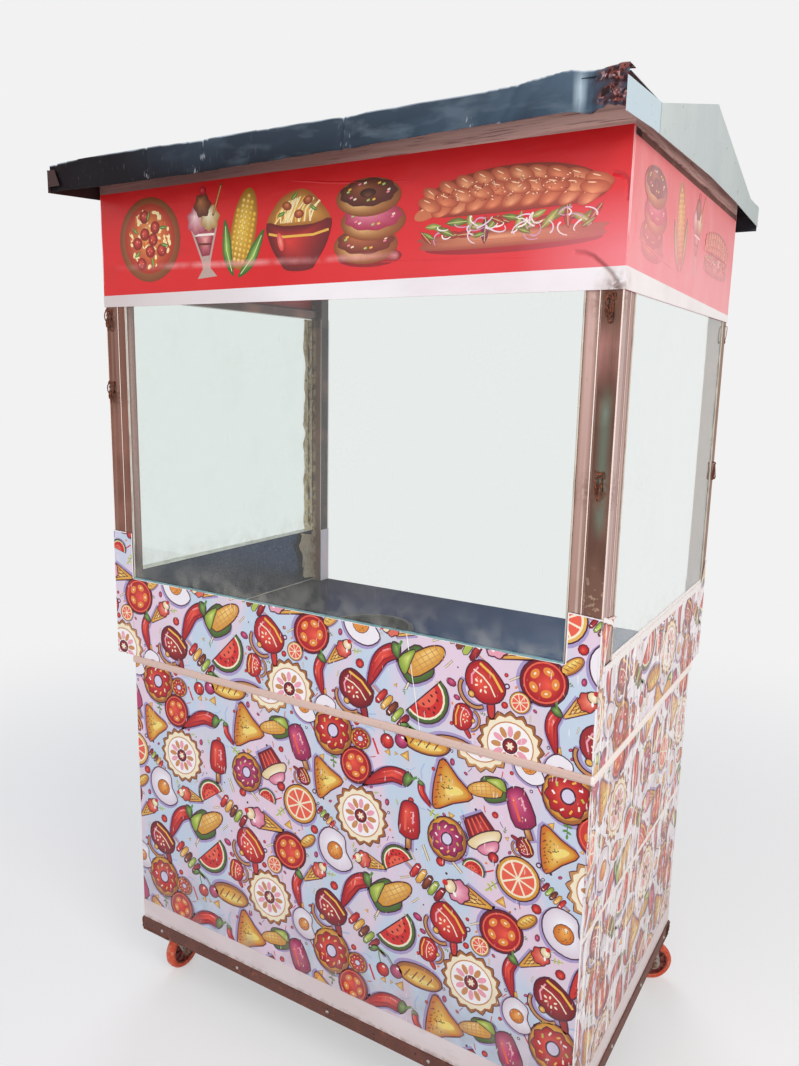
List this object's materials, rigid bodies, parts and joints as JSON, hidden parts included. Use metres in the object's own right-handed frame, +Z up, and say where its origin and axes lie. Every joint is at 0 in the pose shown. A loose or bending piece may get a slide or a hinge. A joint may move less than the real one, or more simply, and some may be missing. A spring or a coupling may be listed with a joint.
{
  "type": "street food kiosk",
  "caption": "Glazed street food kiosk on swivel castors: printed sheet cabinet, stainless counter tray with a burner well, corner posts, fascia and low pitched roof with folded lips.",
  "frame": {"origin": "on the floor, under the middle of the roof", "axes": "+Z up, +X to the right of someone who faces the front, -Y is the front (the customer's side), +Y the seller's side"},
  "size_m": [1.264, 1.1, 2.0912],
  "materials": {
    "rusty_steel": "rusty brown paint",
    "castor_steel": "worn zinc",
    "wheel_tread": "moulded tread, satin",
    "painted_tube": "red oxide primer",
    "galvanised_sheet": "dull zinc",
    "printed_sheet": "sheet with a printed film",
    "pale_tape": "pale skirting, dirty",
    "moulding": "pale moulding, satin",
    "stainless_tray": "worn satin",
    "dark_steel": "sooty",
    "stainless_tube": "polished tube, stained",
    "glass": "clear float glass",
    "red_banner": "printed banner on board, satin",
    "white_tape": "white tape, satin",
    "painted_wood": "rough batten, thin maroon paint",
    "maroon_paint": "red oxide primer, matt",
    "dark_sheet": "dark paint, weathered",
    "grey_sheet": "grey sheet, satin"
  },
  "bodies": {
    "kiosk": {"base_frame": "rusty_steel", "castor_plates": "castor_steel", "cabinet_frame": "painted_tube", "cabinet_floor": "galvanised_sheet", "cabinet_front": "printed_sheet", "cabinet_left": "printed_sheet", "cabinet_right": "printed_sheet", "cabinet_rear": "printed_sheet", "skirting": "pale_tape", "seam_strips": "moulding", "counter_bottom": "galvanised_sheet", "counter_frame": "painted_tube", "counter_front": "printed_sheet", "counter_left": "printed_sheet", "counter_right": "printed_sheet", "counter_rear": "printed_sheet", "counter_tray": "stainless_tray", "burner_well": "dark_steel", "post_front_left": "stainless_tube", "post_front_right": "stainless_tube", "post_rear_left": "stainless_tube", "post_rear_right": "stainless_tube", "window_jambs": "stainless_tube", "window_heads": "stainless_tube", "glass_front": "glass", "glass_left": "glass", "glass_right": "glass", "tie_hooks": "rusty_steel", "fascia_frame": "painted_tube", "fascia_front": "red_banner", "fascia_left": "red_banner", "fascia_right": "red_banner", "fascia_rear": "red_banner", "fascia_band": "white_tape", "roof_battens": "painted_wood", "roof_frame": "maroon_paint", "roof_sheet": "dark_sheet", "roof_lip_front": "dark_sheet", "roof_lip_rear": "dark_sheet", "gable_left": "grey_sheet", "gable_right": "grey_sheet"},
    "swivel_front_left": {"castor_fork_fl": "castor_steel"},
    "wheel_front_left": {"castor_wheel_fl": "wheel_tread"},
    "swivel_front_right": {"castor_fork_fr": "castor_steel"},
    "wheel_front_right": {"castor_wheel_fr": "wheel_tread"},
    "swivel_rear_left": {"castor_fork_rl": "castor_steel"},
    "wheel_rear_left": {"castor_wheel_rl": "wheel_tread"},
    "swivel_rear_right": {"castor_fork_rr": "castor_steel"},
    "wheel_rear_right": {"castor_wheel_rr": "wheel_tread"}
  },
  "joints": [
    {"name": "castor_swivel_front_left", "type": "hinge", "parent": "kiosk", "child": "swivel_front_left", "pos_m": [-0.494, -0.392, 0.132], "axis": [0, 0, 1], "continuous": true},
    {"name": "wheel_spin_front_left", "type": "hinge", "parent": "swivel_front_left", "child": "wheel_front_left", "pos_m": [-0.49278, -0.35702, 0.05], "axis": [-0.9994, 0.0349, 0], "continuous": true},
    {"name": "castor_swivel_front_right", "type": "hinge", "parent": "kiosk", "child": "swivel_front_right", "pos_m": [0.554, -0.392, 0.132], "axis": [0, 0, 1], "continuous": true},
    {"name": "wheel_spin_front_right", "type": "hinge", "parent": "swivel_front_right", "child": "wheel_front_right", "pos_m": [0.52111, -0.40397, 0.05], "axis": [0.342, -0.9397, 0], "continuous": true},
    {"name": "castor_swivel_rear_left", "type": "hinge", "parent": "kiosk", "child": "swivel_rear_left", "pos_m": [-0.494, 0.262, 0.132], "axis": [0, 0, 1], "continuous": true},
    {"name": "wheel_spin_rear_left", "type": "hinge", "parent": "swivel_rear_left", "child": "wheel_rear_left", "pos_m": [-0.50597, 0.29489, 0.05], "axis": [-0.9397, -0.342, 0], "continuous": true},
    {"name": "castor_swivel_rear_right", "type": "hinge", "parent": "kiosk", "child": "swivel_rear_right", "pos_m": [0.554, 0.262, 0.132], "axis": [0, 0, 1], "continuous": true},
    {"name": "wheel_spin_rear_right", "type": "hinge", "parent": "swivel_rear_right", "child": "wheel_rear_right", "pos_m": [0.58267, 0.28208, 0.05], "axis": [-0.5736, 0.8192, 0], "continuous": true}
  ]
}
